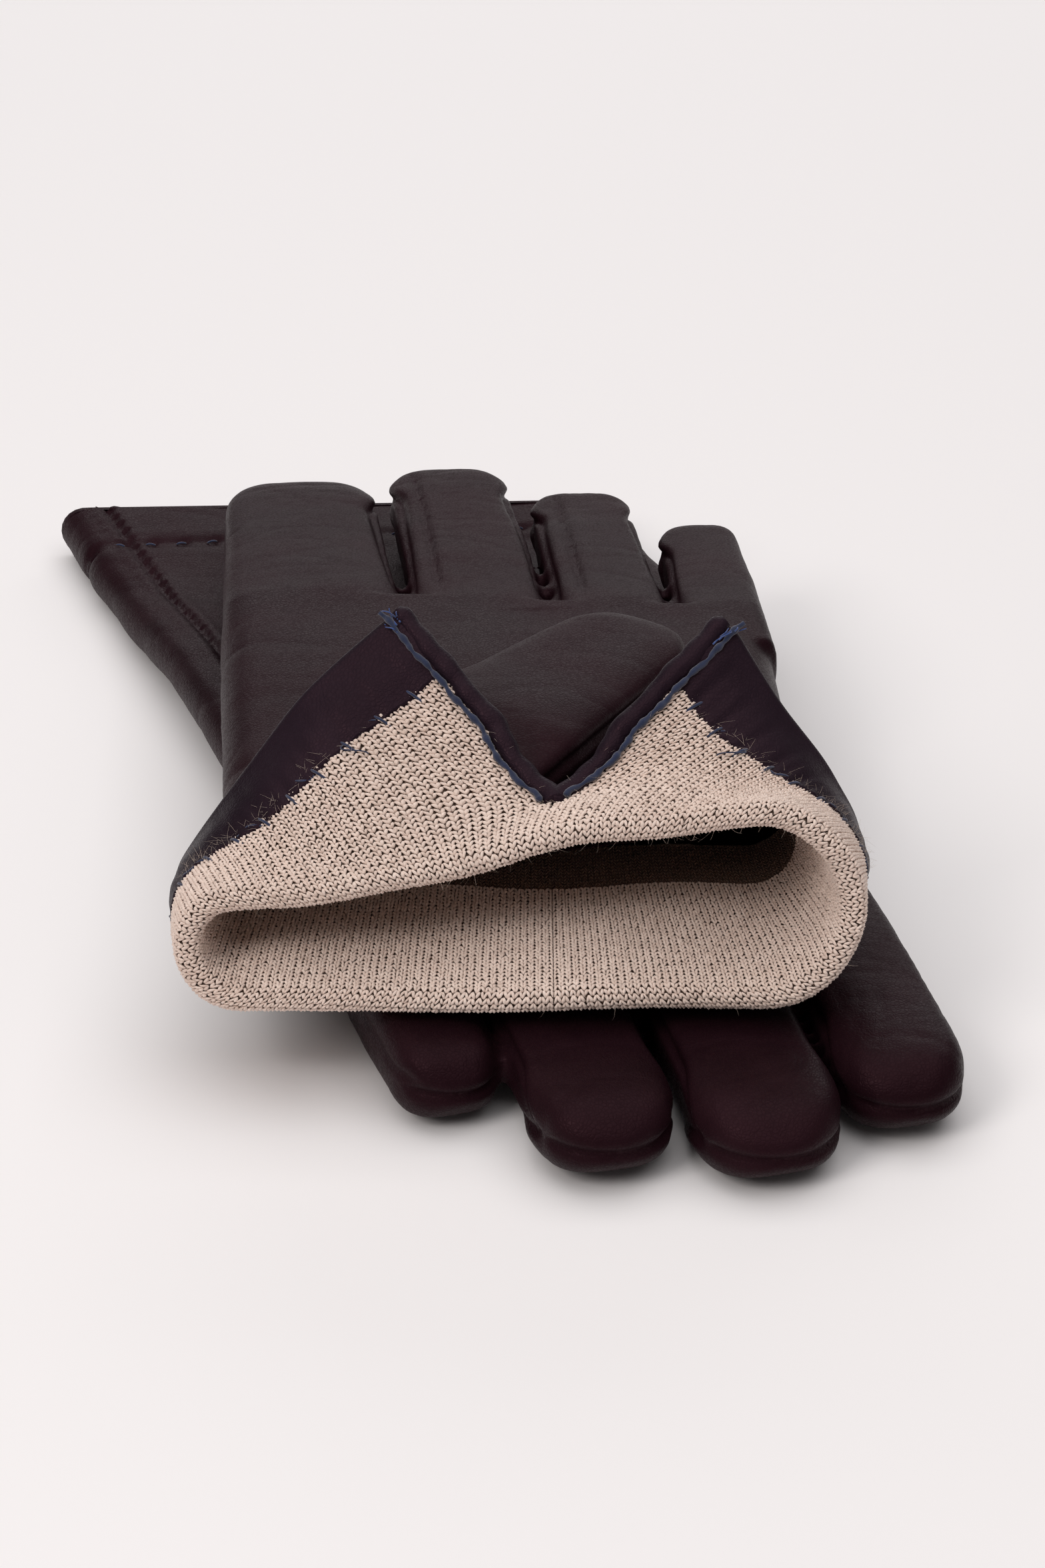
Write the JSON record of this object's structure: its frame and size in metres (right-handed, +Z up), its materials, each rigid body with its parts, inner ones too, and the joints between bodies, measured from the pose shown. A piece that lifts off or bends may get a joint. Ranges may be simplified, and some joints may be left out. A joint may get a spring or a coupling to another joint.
{
  "type": "pair of leather gloves",
  "caption": "Pair of dark leather dress gloves with a knitted lining, one lying across the other, the upper cuff turned back at its vent.",
  "frame": {"origin": "middle of the pair's footprint on the surface it lies on", "axes": "+X across the pair, +Y from the turned-back cuff towards the upper glove's fingertips, +Z up"},
  "size_m": [0.1668, 0.2334, 0.0708],
  "materials": {
    "outer_leather": "soft satin, fine grain",
    "lining_knit": "fine wool and cashmere knit, slightly fuzzy",
    "vent_binding": "rolled edge, navy raw edge",
    "hem_thread": "matt twisted thread"
  },
  "bodies": {
    "right_hand": {"right_back_panel": "outer_leather", "right_hand_lining": "lining_knit", "right_hem_facing": "outer_leather", "right_hem_stitches": "hem_thread", "right_palm_panel": "outer_leather", "right_thumb_gusset": "outer_leather", "right_vent_binding": "vent_binding"},
    "left_hand": {"left_back_panel": "outer_leather", "left_cuff_facing": "outer_leather", "left_cuff_leather": "outer_leather", "left_cuff_lining": "lining_knit", "left_cuff_roll": "lining_knit", "left_hand_lining": "lining_knit", "left_palm_panel": "outer_leather", "left_thumb_gusset": "outer_leather"},
    "left_flap_index": {"left_flap_index_binding": "vent_binding", "left_flap_index_facing": "outer_leather", "left_flap_index_leather": "outer_leather", "left_flap_index_lining": "lining_knit"},
    "left_flap_little": {"left_flap_little_binding": "vent_binding", "left_flap_little_facing": "outer_leather", "left_flap_little_leather": "outer_leather", "left_flap_little_lining": "lining_knit"},
    "left_index_finger": {"left_index_back": "outer_leather", "left_index_fourchettes": "outer_leather", "left_index_lining": "lining_knit", "left_index_palm": "outer_leather"},
    "left_little_finger": {"left_little_back": "outer_leather", "left_little_fourchettes": "outer_leather", "left_little_lining": "lining_knit", "left_little_palm": "outer_leather"},
    "left_middle_finger": {"left_middle_back": "outer_leather", "left_middle_fourchettes": "outer_leather", "left_middle_lining": "lining_knit", "left_middle_palm": "outer_leather"},
    "left_ring_finger": {"left_ring_back": "outer_leather", "left_ring_fourchettes": "outer_leather", "left_ring_lining": "lining_knit", "left_ring_palm": "outer_leather"},
    "left_thumb": {"left_thumb_leather": "outer_leather", "left_thumb_lining": "lining_knit"},
    "right_index_finger": {"right_index_back": "outer_leather", "right_index_fourchettes": "outer_leather", "right_index_lining": "lining_knit", "right_index_palm": "outer_leather"},
    "right_little_finger": {"right_little_back": "outer_leather", "right_little_fourchettes": "outer_leather", "right_little_lining": "lining_knit", "right_little_palm": "outer_leather"},
    "right_middle_finger": {"right_middle_back": "outer_leather", "right_middle_fourchettes": "outer_leather", "right_middle_lining": "lining_knit", "right_middle_palm": "outer_leather"},
    "right_ring_finger": {"right_ring_back": "outer_leather", "right_ring_fourchettes": "outer_leather", "right_ring_lining": "lining_knit", "right_ring_palm": "outer_leather"},
    "right_thumb": {"right_thumb_leather": "outer_leather", "right_thumb_lining": "lining_knit"}
  },
  "joints": [
    {"name": "left_glove_lift", "type": "slide", "parent": "right_hand", "child": "left_hand", "axis": [0, 0, 1], "range_m": [0, 0.12]},
    {"name": "left_index_curl", "type": "hinge", "parent": "left_hand", "child": "left_index_finger", "pos_m": [-0.0272, 0.03087, 0.0351], "axis": [0.9962, 0.0872, 0], "range_deg": [0, 60]},
    {"name": "left_middle_curl", "type": "hinge", "parent": "left_hand", "child": "left_middle_finger", "pos_m": [0.00392, 0.02847, 0.0351], "axis": [0.9962, 0.0872, 0], "range_deg": [0, 60]},
    {"name": "left_ring_curl", "type": "hinge", "parent": "left_hand", "child": "left_ring_finger", "pos_m": [0.02867, 0.02657, 0.0351], "axis": [0.9962, 0.0872, 0], "range_deg": [0, 60]},
    {"name": "left_little_curl", "type": "hinge", "parent": "left_hand", "child": "left_little_finger", "pos_m": [0.04888, 0.02501, 0.0351], "axis": [0.9962, 0.0872, 0], "range_deg": [0, 60]},
    {"name": "right_index_curl", "type": "hinge", "parent": "right_hand", "child": "right_index_finger", "pos_m": [0.05949, -0.03241, 0.0006], "axis": [0.9724, 0.2334, 0], "range_deg": [0, 45]},
    {"name": "right_middle_curl", "type": "hinge", "parent": "right_hand", "child": "right_middle_finger", "pos_m": [0.03543, -0.03818, 0.0006], "axis": [0.9724, 0.2334, 0], "range_deg": [0, 45]},
    {"name": "right_ring_curl", "type": "hinge", "parent": "right_hand", "child": "right_ring_finger", "pos_m": [0.00985, -0.04432, 0.0006], "axis": [0.9724, 0.2334, 0], "range_deg": [0, 45]},
    {"name": "right_little_curl", "type": "hinge", "parent": "right_hand", "child": "right_little_finger", "pos_m": [-0.01324, -0.04987, 0.0006], "axis": [0.9724, 0.2334, 0], "range_deg": [0, 45]},
    {"name": "left_thumb_lift", "type": "hinge", "parent": "left_hand", "child": "left_thumb", "pos_m": [0.00791, -0.04145, 0.05029], "axis": [0.8141, -0.5807, 0], "range_deg": [0, 50]},
    {"name": "right_thumb_lift", "type": "hinge", "parent": "right_hand", "child": "right_thumb", "pos_m": [0.03048, 0.02799, 0], "axis": [0.9205, -0.3907, 0], "range_deg": [0, 40]},
    {"name": "left_flap_index_fold", "type": "hinge", "parent": "left_hand", "child": "left_flap_index", "pos_m": [-0.01307, -0.07953, 0.04], "axis": [0.9927, 0.0464, 0.1113], "range_deg": [-6, 55]},
    {"name": "left_flap_little_fold", "type": "hinge", "parent": "left_hand", "child": "left_flap_little", "pos_m": [0.03993, -0.07778, 0.0455], "axis": [0.9968, 0, 0.0797], "range_deg": [-6, 55]}
  ]
}
